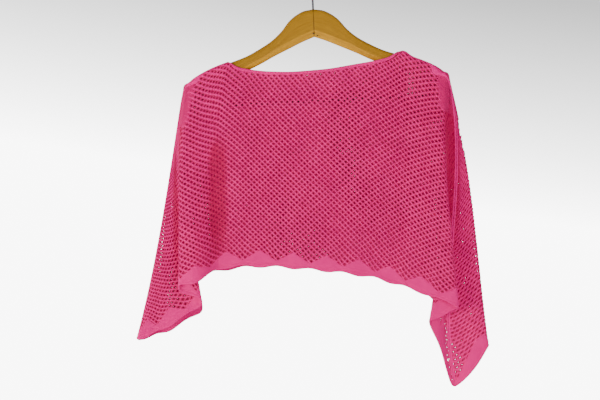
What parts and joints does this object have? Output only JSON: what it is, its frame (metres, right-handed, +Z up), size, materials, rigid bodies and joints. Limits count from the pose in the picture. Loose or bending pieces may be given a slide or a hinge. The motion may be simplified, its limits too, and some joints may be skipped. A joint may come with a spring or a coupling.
{
  "type": "crochet poncho on a hanger",
  "caption": "Openwork knitted poncho with a boat neck and a scalloped hem, hanging in pleats from a wooden hanger with a wire hook and a trouser bar.",
  "frame": {"origin": "inside top of the hook, where it rests on a rail", "axes": "+Z up, +X to the right of someone facing the front, so the front faces -Y"},
  "size_m": [0.5954, 0.0731, 0.6976],
  "materials": {
    "pink_knit": "knitted net of soft matt yarn",
    "pink_border": "closely knitted soft matt yarn",
    "varnished_wood": "clear varnish",
    "bright_wire": "plated wire",
    "dark_bar": "dark coated wire",
    "label_cloth": "plain woven tape, blank"
  },
  "bodies": {
    "root": {"front_panel": "pink_knit", "front_border": "pink_border", "neckband_front": "pink_border", "back_panel": "pink_knit", "back_border": "pink_border", "neckband_back": "pink_border", "care_label": "label_cloth", "hanger_arm_left": "varnished_wood", "hanger_arm_right": "varnished_wood", "hook": "bright_wire", "trouser_bar": "dark_bar"}
  },
  "joints": []
}
